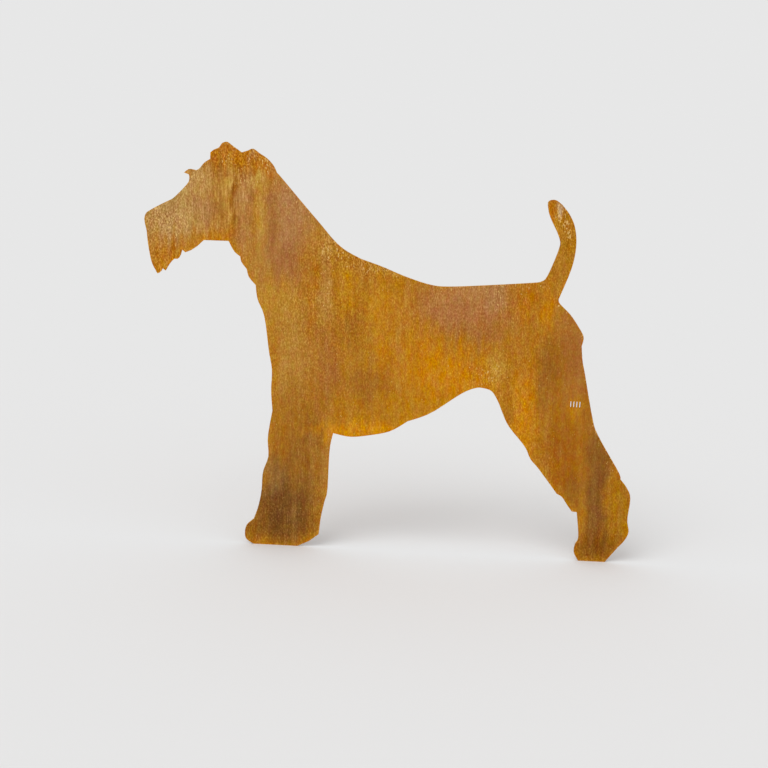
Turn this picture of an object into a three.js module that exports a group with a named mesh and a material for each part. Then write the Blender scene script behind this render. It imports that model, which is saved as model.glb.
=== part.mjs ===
import * as THREE from 'three';

// A garden figure of a wire-haired terrier: one flat silhouette cut from a sheet of
// weathering steel. It stands in the XZ plane, faces -X, and its thickness is centred on
// Y = 0. The ground is Z = 0, where both feet are cut off flat. The origin is the middle
// of the fore foot's sole.

// Driving dimensions, in millimetres
const overallHeight = 800;
const sheetThickness = 4;

// The row of plain slots that is cut through the ham
const slotCount = 4;
const slotWidth = 2;
const slotLength = 12;
const slotPitch = 6;

// Straight steps that stand for each span of a curve
const stepsPerSpan = 3;

const weatheringSteel = new THREE.MeshStandardMaterial({
  color: 0xab7229,
  roughness: 0.85,
  metalness: 0.3,
});

// The free outline is in percent of the overall height: x along the ground, z upward.
const percent = overallHeight / 100;

const outline = new THREE.Shape();

function at([x, z]) {
  return new THREE.Vector2(x * percent, z * percent);
}

// A smooth edge from the end of the last stretch through each of the points
function curve(...points) {
  outline.splineThru(points.map(at));
}

// A straight edge to a corner
function edge(corner) {
  const end = at(corner);
  outline.lineTo(end.x, end.y);
}

// A lock of hair: its outer side bends at a shoulder on its way to the tip, and a short
// straight side runs from the tip back to the root of the next lock.
function lock(shoulder, tip, root) {
  const bend = at(shoulder);
  const end = at(tip);
  outline.quadraticCurveTo(bend.x, bend.y, end.x, end.y);
  edge(root);
}

// The head, from the lip over the nose, muzzle and brow to the back of the skull
function head() {
  curve([-34.6, 80.4], [-34.3, 81.9], [-33.4, 82.7], [-31.3, 84.0], [-28.9, 85.3]);
  curve([-27.5, 86.2], [-24.5, 89.5], [-24.0, 90.8], [-24.1, 91.8]);
  eyebrow();
  curve([-21.6, 93.4], [-20.5, 94.8], [-19.1, 95.8]);
  topknot();
  curve([-10.2, 98.2], [-8.9, 98.7], [-7.3, 97.7], [-5.5, 96.6], [-3.9, 95.0], [-3.0, 93.3]);
}

function eyebrow() {
  edge([-25.3, 92.2]);
  curve([-24.1, 93.1], [-22.4, 92.9]);
}

function topknot() {
  edge([-19.1, 97.3]);
  curve([-18.3, 98.0], [-17.1, 98.6], [-16.3, 99.7], [-15.1, 100], [-13.9, 99.2], [-11.6, 97.7]);
}

// The topline, from the nape down the neck and along the back to the root of the tail
function topline() {
  curve([-1.8, 92.1], [3.7, 86.1], [8.0, 81.5], [11.4, 77.8], [14.3, 75.5], [18.2, 73.6]);
  curve([23.4, 72.0], [29.1, 69.9], [35.3, 68.2], [40.2, 68.0], [51.1, 69.0], [60.3, 70.0]);
}

function tail() {
  curve([62.2, 70.4], [63.6, 71.9], [65.8, 78.3], [65.8, 81.1], [63.2, 86.1], [62.5, 88.4]);
  curve([62.4, 89.6], [63.1, 90.2], [64.4, 90.2], [65.9, 89.2]);
  curve([67.8, 87.0], [69.2, 84.3], [69.9, 80.8], [69.8, 76.9], [68.9, 72.7], [66.7, 66.3]);
}

// The quarters, from under the tail down to the point of the hock
function rumpAndHam() {
  curve([67.1, 65.2], [69.9, 62.6], [72.1, 59.7], [73.5, 57.3], [73.2, 55.0]);
  curve([73.7, 51.4], [74.6, 47.9], [77.2, 37.4], [79.0, 32.8], [84.8, 23.8], [85.5, 21.8]);
}

// The hind foot, from the hock round the heel and along the sole to the step over the toes
function hindFoot() {
  curve([87.4, 19.5], [88.4, 16.9], [88.1, 11.4], [88.7, 8.3], [87.8, 5.9], [86.2, 3.9]);
  edge([83.3, 0]);
  edge([76.6, 0]);
  curve([75.4, 2.0], [75.5, 4.3], [76.2, 6.3], [75.3, 12.7]);
}

// The front of the hind leg, up over the stifle to the flank
function stifle() {
  edge([74.0, 12.8]);
  curve([72.6, 14.6], [71.3, 16.4], [69.9, 17.2]);
  curve([65.0, 23.3], [62.7, 25.8], [61.0, 29.0], [56.8, 33.8], [55.0, 37.1], [53.9, 39.6]);
}

function belly() {
  curve([52.1, 42.4], [49.9, 43.2], [47.8, 43.1], [44.3, 41.4], [37.2, 36.2], [31.6, 33.8]);
  curve([27.5, 31.1], [22.6, 29.8], [17.6, 29.1], [13.3, 29.8]);
}

// The foreleg, down its back, along the sole and up its front to the brisket
function foreleg() {
  curve([12.6, 25.2], [12.5, 15.1], [11.9, 12.0], [11.2, 8.0], [10.8, 3.4]);
  edge([8.5, 1.5]);
  edge([5.5, 0]);
  edge([-5.5, 0]);
  curve([-7.4, 1.2], [-7.8, 3.0], [-7.4, 4.9], [-5.7, 6.6]);
  curve([-4.7, 9.8], [-4.0, 14.0], [-3.8, 18.9], [-2.6, 23.0], [-2.9, 28.0], [-2.0, 34.8]);
}

// The chest and throat, whose coat ends in shallow steps
function chestAndThroat() {
  curve([-2.5, 39.8], [-2.5, 45.1], [-3.4, 49.7], [-4.8, 58.2], [-6.6, 62.4], [-7.2, 65.9]);
  curve([-8.9, 67.8], [-9.5, 69.7]);
  curve([-10.8, 71.3], [-11.2, 72.7]);
  curve([-12.7, 73.9], [-14.1, 76.3]);
}

// The jaw and the beard, whose underside is four locks
function jawAndBeard() {
  edge([-20.1, 76.2]);
  lock([-22.4, 73.6], [-24.5, 73.0], [-25.3, 73.6]);
  lock([-25.7, 71.5], [-26.4, 71.3], [-27.1, 71.3]);
  lock([-28.1, 70.6], [-29.2, 68.3], [-29.9, 68.8]);
  lock([-30.4, 67.6], [-31.2, 67.5], [-31.6, 68.2]);
  curve([-32.7, 70.4], [-33.6, 74.6], [-34.0, 77.8]);
}

// Slots with round ends, side by side, centred on one point of the ham
function cutSlots() {
  const middle = at([72.8, 40.3]);
  const radius = slotWidth / 2;
  const reach = slotLength / 2 - radius;
  const firstX = middle.x - ((slotCount - 1) * slotPitch) / 2;
  for (let i = 0; i < slotCount; i += 1) {
    const x = firstX + i * slotPitch;
    const slot = new THREE.Path();
    slot.absarc(x, middle.y + reach, radius, 0, Math.PI);
    slot.absarc(x, middle.y - reach, radius, Math.PI, 2 * Math.PI);
    outline.holes.push(slot);
  }
}

function silhouette() {
  const lip = at([-34.0, 77.8]);
  outline.moveTo(lip.x, lip.y);
  head();
  topline();
  tail();
  rumpAndHam();
  hindFoot();
  stifle();
  belly();
  foreleg();
  chestAndThroat();
  jawAndBeard();
  cutSlots();

  // The outline is extruded along its own normal, then stood up with its middle on Y = 0.
  const geometry = new THREE.ExtrudeGeometry(outline, {
    depth: sheetThickness,
    bevelEnabled: false,
    curveSegments: stepsPerSpan,
  });
  geometry.translate(0, 0, -sheetThickness / 2);
  geometry.rotateX(Math.PI / 2);

  const sheet = new THREE.Mesh(geometry, weatheringSteel);
  sheet.name = 'terrier_sheet';
  return sheet;
}

const figure = new THREE.Group();
figure.add(silhouette());

export default figure;
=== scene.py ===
# %% [markdown]
# A garden figure of a wire-haired terrier: one flat silhouette, cut from a sheet of
# weathering steel and left outdoors until it rusted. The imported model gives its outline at
# real size. This lesson turns that plain solid into a rusted sheet: soft cut edges, a face
# that is slightly uneven, and a patina whose colours follow how the rain ran down it.

# %% Load the figure
from math import pi, radians

import bmesh
import bpy
import numpy as np
from mathutils import Matrix, Vector, noise
from mathutils.bvhtree import BVHTree


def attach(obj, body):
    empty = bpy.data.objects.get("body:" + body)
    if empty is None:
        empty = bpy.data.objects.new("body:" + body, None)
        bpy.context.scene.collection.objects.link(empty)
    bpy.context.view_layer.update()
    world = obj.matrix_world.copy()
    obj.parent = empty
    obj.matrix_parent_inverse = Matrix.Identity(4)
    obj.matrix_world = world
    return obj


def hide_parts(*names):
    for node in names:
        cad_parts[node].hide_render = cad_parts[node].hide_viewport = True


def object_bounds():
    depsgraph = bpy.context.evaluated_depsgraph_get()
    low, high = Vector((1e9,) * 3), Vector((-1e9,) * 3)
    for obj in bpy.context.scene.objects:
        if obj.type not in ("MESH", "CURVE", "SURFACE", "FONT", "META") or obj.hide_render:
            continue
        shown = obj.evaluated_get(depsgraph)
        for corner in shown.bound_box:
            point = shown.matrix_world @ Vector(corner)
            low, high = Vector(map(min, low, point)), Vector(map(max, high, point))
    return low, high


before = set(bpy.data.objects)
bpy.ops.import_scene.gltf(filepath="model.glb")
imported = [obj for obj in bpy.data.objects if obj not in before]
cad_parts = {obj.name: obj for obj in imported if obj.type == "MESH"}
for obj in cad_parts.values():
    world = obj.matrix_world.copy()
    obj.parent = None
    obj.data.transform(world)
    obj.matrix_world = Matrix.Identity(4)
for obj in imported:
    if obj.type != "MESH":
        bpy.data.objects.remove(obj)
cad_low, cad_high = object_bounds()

MM = 0.001
NODE = "terrier_sheet"

length, thickness, height = (high - low for low, high in zip(cad_low, cad_high))
print(f"sheet {length:.3f} m long, {height:.3f} m tall, {thickness / MM:.1f} mm thick")


def linear(hex_colour):
    """Turn an sRGB hex colour into linear red, green, blue and alpha, as shaders read it."""
    parts = [int(hex_colour[i : i + 2], 16) / 255 for i in (1, 3, 5)]
    return [c / 12.92 if c <= 0.04045 else ((c + 0.055) / 1.055) ** 2.4 for c in parts] + [1]


# %% [markdown]
# The camera looks at the side of the dog, from a little above, as a standing person does. It
# is turned a little about its own axis, because the real figure stands on sloping ground: its
# hind foot comes out lower in the picture than its fore foot.

# %% Camera
LENS_MM = 70
SENSOR_MM = 36
LOOK_DOWN = radians(12)
CAMERA_TURN = radians(3)
DISTANCE = 2.95
AIM = Vector((0.2023, 0, 0.3433))

camera = bpy.data.objects.new("camera", bpy.data.cameras.new("camera"))
camera.data.lens = LENS_MM
camera.data.sensor_width = SENSOR_MM
facing = Matrix.Rotation(pi / 2 - LOOK_DOWN, 4, "X") @ Matrix.Rotation(CAMERA_TURN, 4, "Z")
back_off = facing @ Vector((0, 0, DISTANCE))
camera.matrix_world = Matrix.Translation(AIM + back_off) @ facing
bpy.context.scene.collection.objects.link(camera)
bpy.context.scene.camera = camera
print("camera at", [round(c, 3) for c in camera.matrix_world.translation])

# %% [markdown]
# Light as on a bright overcast day: an even pale sky all round, and one very large soft light
# from the upper left. The floor is a wide pale disc. The soft light adds just what the floor
# swallows, so that floor and sky come out equally bright and no horizon shows.

# %% Light and floor
SKY = 0.80
FLOOR_ALBEDO = 0.75
LIGHT_ELEVATION = radians(52)
LIGHT_FROM_LEFT = radians(35)
LIGHT_SPREAD = radians(40)
FLOOR_RADIUS = 40.0
FLOOR_SIDES = 96
FLOOR_ROUGHNESS = 0.95

scene = bpy.context.scene
scene.view_settings.view_transform = "Standard"

world = bpy.data.worlds.new("overcast sky")
world.use_nodes = True
world.node_tree.nodes["Background"].inputs["Color"].default_value = (1, 1, 1, 1)
world.node_tree.nodes["Background"].inputs["Strength"].default_value = SKY
scene.world = world

missing_light = SKY * (1 / FLOOR_ALBEDO - 1)
soft_light = bpy.data.objects.new("soft light", bpy.data.lights.new("soft light", "SUN"))
soft_light.data.angle = LIGHT_SPREAD
soft_light.data.energy = missing_light * pi / np.sin(LIGHT_ELEVATION)
soft_light.rotation_euler = (pi / 2 - LIGHT_ELEVATION, 0, -LIGHT_FROM_LEFT)
scene.collection.objects.link(soft_light)

floor_mesh = bpy.data.meshes.new("floor")
floor_bm = bmesh.new()
bmesh.ops.create_circle(floor_bm, cap_ends=True, segments=FLOOR_SIDES, radius=FLOOR_RADIUS)
floor_bm.to_mesh(floor_mesh)
floor_bm.free()
floor = bpy.data.objects.new("floor", floor_mesh)
scene.collection.objects.link(floor)

matt_paint = bpy.data.materials.new("pale matt floor paint")
matt_paint.use_nodes = True
paint = matt_paint.node_tree.nodes["Principled BSDF"]
paint.inputs["Base Color"].default_value = (FLOOR_ALBEDO, FLOOR_ALBEDO, FLOOR_ALBEDO, 1)
paint.inputs["Roughness"].default_value = FLOOR_ROUGHNESS
paint.inputs["Specular IOR Level"].default_value = 0.0
floor_mesh.materials.append(matt_paint)
print(f"soft light of {soft_light.data.energy:.2f} W/m2")

# %% [markdown]
# The sheet itself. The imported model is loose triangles, so a copy of it is merged and its flat
# faces are dissolved to whole ones. A plasma or laser cut leaves square edges, which rust and
# handling soften: a narrow bevel does that and gives the top edges a thin line of light. Then
# planes cut the sheet right through into a grid, fine enough to carry both relief and colour.

# %% Copy, merge and round the edges
MERGE_WITHIN = 0.001 * MM
FLAT_WITHIN = radians(0.2)
FACE_LOOK = 0.98
EDGE_ROUND = 0.5 * MM
ROUND_STEPS = 2

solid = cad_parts[NODE]
bm = bmesh.new()
bm.from_mesh(solid.data)
bmesh.ops.remove_doubles(bm, verts=bm.verts[:], dist=MERGE_WITHIN)
bmesh.ops.dissolve_limit(bm, angle_limit=FLAT_WITHIN, verts=bm.verts[:], edges=bm.edges[:])


def is_face(f):
    """The sheet's two large faces look along Y; its cut edge looks every other way."""
    return abs(f.normal.y) > FACE_LOOK


rim_edges = [e for e in bm.edges if sum(is_face(f) for f in e.link_faces) == 1]
bmesh.ops.bevel(
    bm, geom=rim_edges, offset=EDGE_ROUND, offset_type="OFFSET", affect="EDGES",
    segments=ROUND_STEPS, profile=0.5, material=-1, clamp_overlap=True,
)
print(len(rim_edges), "rim edges rounded,", len(bm.faces), "faces")

# %% Cut the sheet into a grid
GRID = 3.4 * MM
SNAP_WITHIN = 0.01 * MM

for axis, across in ((0, Vector((1, 0, 0))), (2, Vector((0, 0, 1)))):
    for reach in np.arange(cad_low[axis] + GRID, cad_high[axis], GRID):
        bmesh.ops.bisect_plane(
            bm, geom=bm.verts[:] + bm.edges[:] + bm.faces[:],
            plane_co=across * float(reach), plane_no=across, dist=SNAP_WITHIN,
        )
print("grid of", len(bm.faces), "faces")

# %% [markdown]
# Hot-rolled sheet is never dead flat, and rust eats it unevenly. The relief only goes inward,
# so the sheet keeps its outer size: broad shallow waves from rolling, and pits about a
# centimetre across, all a few tenths of a millimetre deep. The two faces read the noise at
# different places, so that neither is a copy of the other.

# %% Uneven faces
WAVE_LENGTH = 110 * MM
WAVE_DEPTH = 0.25 * MM
WAVE_PLACE = Vector((0, 7, 0))
PIT_LENGTH = 14 * MM
PIT_DEPTH = 0.12 * MM
PIT_PLACE = Vector((0, 3, 0))
CREASE = radians(35)

flat_points = [v for v in bm.verts if all(is_face(f) for f in v.link_faces)]
for v in flat_points:
    side = 1 if v.co.y > 0 else -1
    wave = 0.5 + 0.5 * noise.noise(v.co / WAVE_LENGTH + side * WAVE_PLACE)
    pit = 0.5 + 0.5 * noise.noise(v.co / PIT_LENGTH + side * PIT_PLACE)
    v.co.y -= side * (wave * WAVE_DEPTH + pit * PIT_DEPTH)

for f in bm.faces:
    f.smooth = True
for e in bm.edges:
    rim = len({is_face(f) for f in e.link_faces}) == 2
    e.smooth = not rim and e.calc_face_angle(0) < CREASE
print(len(flat_points), "points of the faces moved inward")

# %% The sheet's object
sheet_mesh = bpy.data.meshes.new("rusted_sheet")
bm.to_mesh(sheet_mesh)
bm.free()
sheet = bpy.data.objects.new("rusted_sheet", sheet_mesh)
scene.collection.objects.link(sheet)
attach(sheet, "root")
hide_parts(NODE)
print("sheet mesh:", len(sheet_mesh.vertices), "vertices")

# %% [markdown]
# Weathering steel rusts in layers. Where rain runs off and dries last, at the lower edges, the
# rust is young and amber. Broad faces darken to brown and clay, and the face that the rain
# washes least is dusty ochre. The legs near the ground go to umber, dark brown and chestnut:
# partly rust kept wet by the ground, partly painted shade. Each area is a soft patch with a
# colour, a strength, a centre and half sizes. The patches are laid over each other as glazes,
# from the first to the last, with their borders shaken by noise that is drawn out along the
# way the water runs.

# %% Patina colours
BASE = linear("#B0741E")
OCHRE = linear("#BD985A")
SAND = linear("#CBA24A")
STRAW = linear("#BC8931")
TAN = linear("#B6833D")
CLAY = linear("#AF7B4B")
MAUVE = linear("#AD7141")
PLUM = linear("#9F6133")
BROWN = linear("#9D631D")
SIENNA = linear("#9F5D13")
RUST = linear("#B0701D")
ORANGE = linear("#B36B0F")
GOLD = linear("#BB7D13")
AMBER = linear("#C87F0F")
FRESH = linear("#D68D06")
BRONZE = linear("#A56E13")
# The umber, dark brown and chestnut below are rust colours which, on the lower legs and feet,
# also carry painted shade
UMBER_RUST_AND_SHADE = linear("#7E4F21")
DARK_RUST_AND_SHADE = linear("#6A421D")
CHESTNUT_RUST_AND_SHADE = linear("#784710")
DUN = linear("#8C683C")
BLEACHED = linear("#D6C6A4")

# %% Patches of the patina, from the head to the hind foot
# Each has a name, colour, strength, centre and half sizes in mm along X and Z
PATCHES = [
    ("muzzle", OCHRE, 0.95, (-225, 665), (75, 70)),
    ("nose", TAN, 0.3, (-264, 645), (18, 44)),
    ("middle of the muzzle", CLAY, 0.6, (-230, 645), (30, 30)),
    ("brow", OCHRE, 0.6, (-175, 728), (32, 32)),
    ("clay edge of the brow", CLAY, 0.5, (-184, 738), (18, 12)),
    ("cheek", TAN, 0.7, (-140, 682), (50, 64)),
    ("clay patch on the cheek", CLAY, 0.7, (-160, 675), (22, 26)),
    ("brown patch on the cheek", BROWN, 0.4, (-130, 672), (14, 26)),
    ("crown", ORANGE, 1.0, (-115, 785), (54, 30)),
    ("bleached edge behind the crown", BLEACHED, 0.15, (-76, 782), (10, 8)),
    ("brown under the crown", BROWN, 0.5, (-120, 750), (32, 20)),
    ("dark spot on the crown", RUST, 0.5, (-112, 772), (14, 12)),
    ("behind the ear", ORANGE, 0.95, (-45, 750), (24, 30)),
    ("yellow run on the cheek", SAND, 0.75, (-117, 724), (6, 36)),
    ("yellow blotch under the ear", SAND, 0.75, (-60, 725), (15, 16)),
    ("clay run behind the cheek", CLAY, 0.7, (-85, 690), (18, 60)),
    ("yellow run under the ear", SAND, 0.55, (-52, 665), (8, 80)),
    ("dark run on the cheek", BROWN, 0.95, (-106, 690), (5, 60)),
    ("orange above the throat", ORANGE, 0.8, (-140, 618), (40, 14)),
    ("jaw", RUST, 0.6, (-180, 606), (40, 15)),
    ("beard", ORANGE, 0.9, (-232, 566), (52, 36)),
    ("front of the beard", TAN, 0.6, (-266, 585), (16, 34)),
    ("neck", CLAY, 0.9, (-5, 650), (36, 120)),
    ("front of the neck band", PLUM, 0.6, (-28, 650), (8, 80)),
    ("foot of the neck", PLUM, 0.6, (0, 568), (30, 48)),
    ("crest of the neck", CLAY, 0.8, (20, 700), (35, 60)),
    ("run down the neck band", BROWN, 0.35, (-24, 660), (7, 60)),
    ("rust before the withers", ORANGE, 0.6, (62, 630), (16, 30)),
    ("dusty crest", OCHRE, 0.2, (60, 638), (30, 40)),
    ("dust on the back", OCHRE, 0.1, (190, 572), (50, 12)),
    ("throat", TAN, 0.6, (-60, 565), (30, 60)),
    ("clay on the throat", CLAY, 0.5, (-85, 615), (20, 22)),
    ("chest", STRAW, 0.7, (-15, 480), (45, 55)),
    ("front edge of the brisket", RUST, 0.4, (-15, 380), (14, 80)),
    ("brisket", STRAW, 0.4, (10, 400), (22, 70)),
    ("dusty brisket", OCHRE, 0.22, (28, 380), (34, 110)),
    ("rust run on the shoulder", ORANGE, 0.7, (52, 500), (9, 70)),
    ("pale run on the shoulder", TAN, 0.7, (78, 530), (14, 90)),
    ("gold on the shoulder", GOLD, 0.95, (122, 515), (15, 52)),
    ("gold behind the shoulder", GOLD, 0.95, (183, 510), (16, 62)),
    ("gold on the back", GOLD, 0.7, (225, 530), (22, 40)),
    ("gold run on the ribs", AMBER, 0.7, (195, 410), (13, 45)),
    ("upper ribs", AMBER, 0.4, (215, 485), (60, 32)),
    ("dull patch on the shoulder", BROWN, 0.75, (135, 455), (26, 38)),
    ("dull patch on the ribs", BROWN, 0.85, (165, 345), (42, 32)),
    ("plum run on the upper arm", PLUM, 0.55, (88, 365), (24, 80)),
    ("pale run on the ribs", TAN, 0.5, (230, 380), (10, 90)),
    ("loin", MAUVE, 0.95, (350, 510), (95, 55)),
    ("dusty back", OCHRE, 0.2, (370, 540), (65, 20)),
    ("dusty end of the back", CLAY, 0.8, (410, 528), (21, 34)),
    ("lower loin", PLUM, 0.5, (400, 455), (36, 28)),
    ("flank", AMBER, 0.95, (335, 370), (90, 52)),
    ("ribs", AMBER, 0.5, (260, 400), (60, 55)),
    ("lower ribs", GOLD, 0.6, (250, 300), (60, 40)),
    ("fold of the stifle", STRAW, 0.8, (420, 385), (20, 40)),
    ("croup", ORANGE, 0.9, (470, 522), (26, 36)),
    ("gold run on the croup", AMBER, 0.8, (516, 505), (13, 50)),
    ("rump", PLUM, 0.68, (574, 412), (40, 95)),
    ("thigh", RUST, 0.5, (475, 425), (40, 50)),
    ("front of the thigh", AMBER, 0.9, (485, 305), (26, 85)),
    ("dark run on the ham", BROWN, 0.97, (529, 385), (29, 80)),
    ("umber run on the ham", UMBER_RUST_AND_SHADE, 0.22, (520, 392), (18, 50)),
    ("shank", SIENNA, 0.9, (564, 205), (38, 105)),
    # The umber and chestnut patches of the lower hind leg, from here to the hind paw, are partly
    # rust and partly painted shade near the ground
    ("foot of the shank", UMBER_RUST_AND_SHADE, 0.5, (590, 140), (20, 40)),
    ("edge of the ham", BROWN, 0.6, (605, 320), (16, 60)),
    ("round the slots", GOLD, 0.8, (582, 312), (18, 20)),
    ("hind leg above the hock", UMBER_RUST_AND_SHADE, 0.75, (635, 215), (26, 80)),
    ("dark band of the hind leg", UMBER_RUST_AND_SHADE, 0.95, (641, 115), (22, 110)),
    ("hock", BRONZE, 0.95, (690, 105), (24, 76)),
    ("hind paw", CHESTNUT_RUST_AND_SHADE, 1.0, (655, 22), (56, 42)),
    ("elbow", BROWN, 0.6, (35, 265), (56, 66)),
    ("inner elbow", UMBER_RUST_AND_SHADE, 0.4, (66, 240), (20, 40)),
    # The dark forearm, fore pastern and fore toe patches are partly rust and partly painted shade
    # near the ground
    ("forearm", UMBER_RUST_AND_SHADE, 0.6, (45, 165), (50, 70)),
    ("fore pastern", DARK_RUST_AND_SHADE, 0.96, (14, 70), (64, 80)),
    ("back of the foreleg", TAN, 0.5, (98, 160), (14, 104)),
    ("front of the forearm", DUN, 0.55, (-8, 145), (22, 50)),
    ("fore toe", CHESTNUT_RUST_AND_SHADE, 0.6, (-58, 25), (20, 28)),
    ("belly", FRESH, 0.97, (190, 244), (112, 17)),
    ("gold above the belly", GOLD, 0.5, (180, 275), (70, 25)),
    ("tail", BRONZE, 0.5, (540, 635), (20, 90)),
    ("orange edge of the tail tip", ORANGE, 0.9, (507, 706), (9, 26)),
    ("bleached streak on the tail tip", BLEACHED, 0.55, (523, 711), (6, 13)),
]

# Clusters of pale specks, where splashes dried: name, density, centre and half sizes
SPECKED = [
    ("muzzle", 1.0, (-250, 650), (24, 34)),
    ("lip", 0.75, (-225, 640), (40, 40)),
    ("brow", 0.9, (-183, 736), (16, 14)),
    ("ear", 1.0, (-77, 777), (16, 14)),
    ("skull", 0.9, (-42, 762), (12, 20)),
    ("crown", 0.6, (-122, 772), (22, 20)),
    ("under the crown", 0.7, (-95, 738), (14, 26)),
    ("yellow blotch", 0.6, (-60, 725), (16, 16)),
    ("withers", 1.0, (100, 602), (34, 14)),
    ("behind the withers", 0.8, (165, 576), (50, 12)),
    ("run on the shoulder", 0.6, (80, 540), (10, 50)),
    ("back of the loin", 0.75, (420, 525), (12, 34)),
    ("fold of the stifle", 0.7, (405, 372), (26, 30)),
    ("tail tip", 1.15, (526, 698), (14, 18)),
    ("tail", 1.15, (541, 675), (9, 20)),
]

# The grain: rough where sun and rain work most, smooth on the hind leg, and drawn out to
# runs where water flows. Name, strength, share of runs, centre and half sizes
USUAL_STRENGTH = 0.8
USUAL_RUNS = 0.34
GRAINED = [
    ("head", 1.3, 0.5, (-160, 700), (110, 80)),
    ("tip of the muzzle", 1.4, 0.25, (-250, 645), (30, 50)),
    ("crown", 1.35, 0.25, (-95, 775), (60, 24)),
    ("cheek", 1.25, 0.7, (-110, 690), (50, 60)),
    ("beard", 1.2, 0.25, (-235, 570), (60, 40)),
    ("neck", 0.72, 0.46, (-20, 610), (50, 80)),
    ("withers", 1.45, 0.3, (110, 605), (60, 26)),
    ("back", 1.45, 0.25, (175, 575), (60, 20)),
    ("shoulder", 1.05, 0.36, (70, 500), (70, 70)),
    ("end of the loin", 1.2, 0.45, (435, 520), (26, 36)),
    ("fold of the stifle", 1.1, 0.36, (410, 370), (50, 34)),
    ("front of the thigh", 1.0, 0.36, (480, 290), (30, 80)),
    ("rump", 0.45, 0.34, (570, 370), (60, 150)),
    ("hind leg", 0.45, 0.42, (610, 200), (60, 120)),
    ("hock", 0.8, 0.42, (690, 90), (40, 80)),
    ("lower ribs", 0.66, 0.34, (200, 340), (110, 60)),
    ("forearm", 0.74, 0.55, (30, 190), (75, 100)),
    ("tail", 1.2, 0.34, (530, 680), (30, 60)),
]
print(len(PATCHES), "patches and", len(SPECKED), "clusters of specks")

# %% Lay the patches over each other at every point of the mesh
BORDER_SHAKE = 12 * MM
BORDER_WIDTH = 50 * MM
BORDER_PLACE = Vector((0, 5, 0))
RAGGED_SHAKE = 5 * MM
RAGGED_WIDTH = 14 * MM
RUN_SHAKE = 26 * MM
RUN_WIDTH = 8 * MM
RUN_LENGTH = 120 * MM
RUN_PLACE = 11
FADE = 0.8
FADE_POWER = 1.8
BORDER_SEED = 1

# Without a seed, noise_vector starts from the clock, and no two runs have the same borders
noise.seed_set(BORDER_SEED)


def shaken(point, side):
    """Move a point a little, so that a patch looked up there has a torn, streaked border."""
    broad = noise.noise_vector(point / BORDER_WIDTH + side * BORDER_PLACE)
    ragged = noise.noise_vector(point / RAGGED_WIDTH - side * BORDER_PLACE)
    run = noise.noise(Vector((point.x / RUN_WIDTH, side * RUN_PLACE, point.z / RUN_LENGTH)))
    return (
        point.x + BORDER_SHAKE * broad.x + RAGGED_SHAKE * ragged.x,
        point.z + BORDER_SHAKE * broad.z + RAGGED_SHAKE * ragged.z + RUN_SHAKE * run,
    )


points = [v.co.copy() for v in sheet_mesh.vertices]
spots = np.array([shaken(p, -1 if p.y < 0 else 1) for p in points])


def cover(centre, half_size):
    """How much of a patch lies on each point: 1 in its middle, fading round its border."""
    away = (spots - np.array(centre) * MM) / (np.array(half_size) * MM)
    return np.exp(-FADE * (away**2).sum(axis=1) ** FADE_POWER)


colours = np.tile(np.array(BASE), (len(points), 1))
for _, colour, strength, centre, half_size in PATCHES:
    share = (strength * cover(centre, half_size))[:, None]
    colours = colours * (1 - share) + np.array(colour) * share

specked = np.zeros(len(points))
for _, density, centre, half_size in SPECKED:
    specked = np.maximum(specked, density * cover(centre, half_size))

roughness = np.full(len(points), USUAL_STRENGTH)
runniness = np.full(len(points), USUAL_RUNS)
for _, strength, runs, centre, half_size in GRAINED:
    share = cover(centre, half_size)
    roughness = roughness * (1 - share) + strength * share
    runniness = runniness * (1 - share) + runs * share
print(len(points), "points, grain from", roughness.min().round(2), "to", roughness.max().round(2))

# %% [markdown]
# Water gathers just above the lower edges and keeps the rust there young, and dust settles
# just below the upper ones. A ray down, and one up, along the middle of the sheet measure at
# every point how far the real outline is.

# %% Young rust above the lower edges, dust below the upper ones
FRESH_RUST = linear("#CC850A")
DRIP_HEIGHT = 12 * MM
DRIP_SHARE = 0.5
DUST_HEIGHT = 14 * MM
DUST_SHARE = 0.5
HEAD_START = 0.05 * MM
UP = Vector((0, 0, 1))

solid_bm = bmesh.new()
solid_bm.from_mesh(solid.data)
rays = BVHTree.FromBMesh(solid_bm)
solid_bm.free()


def gap(point, direction):
    """The distance from a point to the cut edge in one direction, inside the sheet."""
    start = Vector((point.x, 0, point.z)) - direction * HEAD_START
    hit, _, _, distance = rays.ray_cast(start, direction)
    return distance if hit else 0.0


above_edge = np.array([gap(p, -UP) for p in points])
below_edge = np.array([gap(p, UP) for p in points])
share = (DRIP_SHARE * np.exp(-above_edge / DRIP_HEIGHT))[:, None]
colours = colours * (1 - share) + np.array(FRESH_RUST) * share
specked = np.maximum(specked, DUST_SHARE * np.exp(-below_edge / DUST_HEIGHT))

# The patina carries the rust colours and, on the lower legs and feet, painted shade
patina = sheet_mesh.attributes.new("patina", "FLOAT_COLOR", "POINT")
patina.data.foreach_set("color", colours.ravel())
for name, amounts in (("specked", specked), ("rough", roughness), ("runny", runniness)):
    stored = sheet_mesh.attributes.new(name, "FLOAT", "POINT")
    stored.data.foreach_set("value", amounts)
print("mean patina", colours.mean(axis=0).round(3)[:3])

# %% [markdown]
# Weathering steel, rolled, cut and rusted in the rain. Rust is an oxide, not a metal: matt,
# earthy, with hardly any shine. Its grain is several things at once: a speckle of oxide
# grains, fine runs drawn down by water, broader runs, and cloudy blotches. The real grains
# are a few tenths of a millimetre, too fine to show at this distance, so they are drawn two
# to three millimetres across.

# %% Node helper
rust = bpy.data.materials.new("weathering steel, rolled and rusted by rain")
rust.use_nodes = True
tree = rust.node_tree
surface = tree.nodes["Principled BSDF"]


def add(kind, inputs=(), **settings):
    """Add a node, apply its settings, and fill its inputs with values or with links."""
    made = tree.nodes.new(kind)
    for setting, value in settings.items():
        setattr(made, setting, value)
    for socket, value in dict(inputs).items():
        if isinstance(value, bpy.types.NodeSocket):
            tree.links.new(value, made.inputs[socket])
        else:
            made.inputs[socket].default_value = value
    return made


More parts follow.
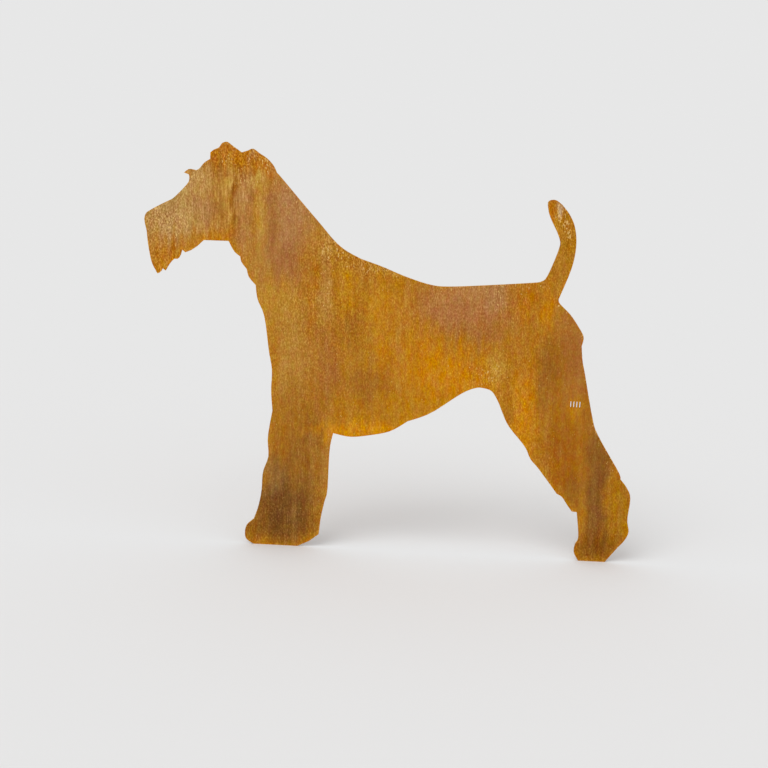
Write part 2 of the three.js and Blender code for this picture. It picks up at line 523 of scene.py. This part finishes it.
# %% Patterns of the grain
# A noise hardly ever leaves the range from its low to its high value
NOISE_LOW = 0.3
NOISE_MIDDLE = 0.5
NOISE_HIGH = 0.7
NOISE_ROUGHNESS = 0.6
RUN_LEAN = radians(3)
PATTERNS = {
    # name: width of a feature, how far it is drawn out along X, Y and Z, levels of detail
    "speckle": (2.2 * MM, (1, 1, 2), 1),
    "fine runs": (3 * MM, (1, 1, 7), 2),
    "long runs": (7 * MM, (1, 1, 20), 3),
    "broad runs": (24 * MM, (1, 1, 12), 3),
    "clouds": (60 * MM, (1, 1, 1), 3),
    "mottle": (9 * MM, (1, 1, 1.6), 2),
    "dust": (13 * MM, (1, 1, 2), 2),
    "specks": (3.0 * MM, (1, 1, 1.8), 1),
    "cut lines": (1.4 * MM, (1, 15, 1), 1),
}

place = add("ShaderNodeTexCoord").outputs["Object"]
upright = add("ShaderNodeMapping", {"Vector": place, "Rotation": (0, RUN_LEAN, 0)}).outputs[0]
pattern = {}
for name, (width, drawn_out, detail) in PATTERNS.items():
    squeeze = [1 / factor for factor in drawn_out]
    drawn = add("ShaderNodeMapping", {"Vector": upright, "Scale": squeeze})
    texture = add("ShaderNodeTexNoise", {
        "Vector": drawn.outputs[0], "Scale": 1 / width, "Detail": detail,
        "Roughness": NOISE_ROUGHNESS,
    })
    pattern[name] = texture.outputs["Fac"]
print(len(pattern), "patterns")

# %% [markdown]
# Broad runs and clouds are thin glazes of other rust colours over the patina.

# %% Glazes over the patina
GLAZES = [
    # pattern, value where the glaze is full, its share there, colour
    ("clouds", NOISE_HIGH, 0.22, linear("#BE7E18")),
    ("clouds", NOISE_LOW, 0.22, linear("#9A5C16")),
    ("broad runs", NOISE_HIGH, 0.2, linear("#C08E46")),
    ("broad runs", NOISE_LOW, 0.2, linear("#9E6012")),
]
colour = add("ShaderNodeAttribute", attribute_name="patina").outputs["Color"]
for name, full, share, glaze in GLAZES:
    amount = add("ShaderNodeMapRange", {
        "Value": pattern[name], "From Min": NOISE_MIDDLE, "From Max": full, "To Max": share,
    })
    laid = add("ShaderNodeMix", {0: amount.outputs[0], 6: colour, 7: glaze}, data_type="RGBA")
    colour = laid.outputs[2]
print(len(GLAZES), "glazes")

# %% [markdown]
# Close up, patches a few millimetres wide lean to orange or to olive: the hue swings a little,
# and the colour grows weaker and stronger.

# %% Mottle of hue
HUE_SWING = 0.01
SATURATION_SWING = 0.018

hue = add("ShaderNodeMapRange", {
    "Value": pattern["mottle"], "From Min": NOISE_LOW, "From Max": NOISE_HIGH,
    "To Min": 0.5 - HUE_SWING, "To Max": 0.5 + HUE_SWING,
})
saturation = add("ShaderNodeMapRange", {
    "Value": pattern["dust"], "From Min": NOISE_LOW, "From Max": NOISE_HIGH,
    "To Min": 1 + SATURATION_SWING, "To Max": 1 - SATURATION_SWING,
})
leaning = {"Hue": hue.outputs[0], "Saturation": saturation.outputs[0], "Color": colour}
colour = add("ShaderNodeHueSaturation", leaning).outputs[0]
print("hue leans by up to", HUE_SWING * 360, "degrees")

# %% [markdown]
# The cut edge rusts too, but it is narrow and dries fast. Where it looks up, it is pale with
# dust and a painted highlight; where it looks down, it is brown rust with painted shade. The
# cutter leaves fine drag lines across the thickness of the sheet.

# %% Cut edge
# Pale dust with a painted highlight where the cut edge looks up, brown rust with painted shade
# where it looks down
EDGE_TOP_DUST_AND_HIGHLIGHT = linear("#CDB088")
EDGE_UNDER_RUST_AND_SHADE = linear("#8A5A24")
LINE_SWING = 0.2
# How far a normal points through the sheet, on its faces and on its edge
FACE_TURN = 0.95
EDGE_TURN = 0.7
# How far a normal points up, where the edge's colour is its lower and its upper one
UNDER_TURN = -0.2
TOP_TURN = 0.6

lines = add("ShaderNodeMapRange", {
    "Value": pattern["cut lines"], "From Min": NOISE_LOW, "From Max": NOISE_HIGH,
    "To Min": 1 - LINE_SWING, "To Max": 1 + LINE_SWING,
})
normal = add("ShaderNodeTexCoord").outputs["Normal"]
along = add("ShaderNodeSeparateXYZ", {0: normal})
through = add("ShaderNodeMath", {0: along.outputs["Y"]}, operation="ABSOLUTE")
on_edge = add("ShaderNodeMapRange", {
    "Value": through.outputs[0], "From Min": FACE_TURN, "From Max": EDGE_TURN,
})
# The share of the painted highlight on the cut edge grows as the edge turns to look up
highlight_share = add("ShaderNodeMapRange", {
    "Value": along.outputs["Z"], "From Min": UNDER_TURN, "From Max": TOP_TURN,
})
cut = {0: highlight_share.outputs[0], 6: EDGE_UNDER_RUST_AND_SHADE, 7: EDGE_TOP_DUST_AND_HIGHLIGHT}
cut_colour = add("ShaderNodeMix", cut, data_type="RGBA").outputs[2]
lined = add("ShaderNodeHueSaturation", {"Color": cut_colour, "Value": lines.outputs[0]})
whole = {0: on_edge.outputs[0], 6: colour, 7: lined.outputs[0]}
colour = add("ShaderNodeMix", whole, data_type="RGBA").outputs[2]
print("cut edge laid over", len(tree.nodes), "nodes")

# %% [markdown]
# The fine grain then works as in the real oxide: a pale grain is dusty as well as light, and
# a dark one is deep in colour. A gamma does just that, together with a little plain light
# and dark. Squaring the noise makes its peaks stronger than its hollows, as pale grains
# stand out more than dark ones do.

# %% Light, pale grains and dark, deep ones
FINE_PART = 0.7
GAMMA_SWING = 0.25
SHADE_SWING = 0.22

both_runs = {0: FINE_PART, 2: pattern["long runs"], 3: pattern["fine runs"]}
run_marks = add("ShaderNodeMix", both_runs).outputs[0]
runny = add("ShaderNodeAttribute", attribute_name="runny").outputs["Fac"]
mixed = add("ShaderNodeMix", {0: runny, 2: pattern["speckle"], 3: run_marks}).outputs[0]
rough = add("ShaderNodeAttribute", attribute_name="rough").outputs["Fac"]
peaked = {0: mixed, 1: mixed, 2: -(NOISE_MIDDLE**2)}
swing = add("ShaderNodeMath", peaked, operation="MULTIPLY_ADD").outputs[0]
swung = {0: swing, 1: rough, 2: NOISE_MIDDLE}
grain = add("ShaderNodeMath", swung, operation="MULTIPLY_ADD").outputs[0]
gamma = add("ShaderNodeMapRange", {
    "Value": grain, "From Min": NOISE_LOW, "From Max": NOISE_HIGH,
    "To Min": 1 + GAMMA_SWING, "To Max": 1 - GAMMA_SWING,
})
shade = add("ShaderNodeMapRange", {
    "Value": grain, "From Min": NOISE_LOW, "From Max": NOISE_HIGH,
    "To Min": 1 - SHADE_SWING, "To Max": 1 + SHADE_SWING,
})
deepened = add("ShaderNodeGamma", {"Color": colour, "Gamma": gamma.outputs[0]})
shaded = add("ShaderNodeHueSaturation", {"Color": deepened.outputs[0], "Value": shade.outputs[0]})
colour = shaded.outputs[0]
print("gamma from", 1 - GAMMA_SWING, "to", 1 + GAMMA_SWING)

# %% [markdown]
# Splashes dry to pale specks. A speck shows where its noise peaks, and the denser a cluster
# is, the lower a peak needs to be.

# %% Pale specks
PALE_SPECK = linear("#E6BC72")
SPECK_SPREAD = 0.20
SPECK_RIM = 0.74
SPECK_CORE = 0.84
SPECK_SHARE = 0.85

where = add("ShaderNodeAttribute", attribute_name="specked").outputs["Fac"]
raised = {0: where, 1: SPECK_SPREAD, 2: pattern["specks"]}
peaks = add("ShaderNodeMath", raised, operation="MULTIPLY_ADD").outputs[0]
speck = add("ShaderNodeMapRange", {
    "Value": peaks, "From Min": SPECK_RIM, "From Max": SPECK_CORE, "To Max": SPECK_SHARE,
}).outputs[0]
colour = add("ShaderNodeMix", {0: speck, 6: colour, 7: PALE_SPECK}, data_type="RGBA").outputs[2]
tree.links.new(colour, surface.inputs["Base Color"])
print(f"{(specked > 0.5).mean():.1%} of the points lie in a dense cluster of specks")

# %% [markdown]
# The finish is as dull as dry earth: rough all over, roughest on the pale dusty grains, with
# almost no mirror-like part. The grain stands a few tenths of a millimetre proud.

# %% Finish
MATT_DARK = 0.78
MATT_PALE = 0.95
SHINE = 0.03
BUMP_DEPTH = 0.6 * MM
BUMP_STRENGTH = 0.5

matt = add("ShaderNodeMapRange", {
    "Value": grain, "From Min": NOISE_LOW, "From Max": NOISE_HIGH,
    "To Min": MATT_DARK, "To Max": MATT_PALE,
})
tree.links.new(matt.outputs[0], surface.inputs["Roughness"])
surface.inputs["Metallic"].default_value = 0.0
surface.inputs["Specular IOR Level"].default_value = SHINE

raised_grain = {"Height": grain, "Strength": BUMP_STRENGTH, "Distance": BUMP_DEPTH}
bump = add("ShaderNodeBump", raised_grain)
tree.links.new(bump.outputs["Normal"], surface.inputs["Normal"])
sheet_mesh.materials.append(rust)
print(len(tree.nodes), "nodes in the rust")
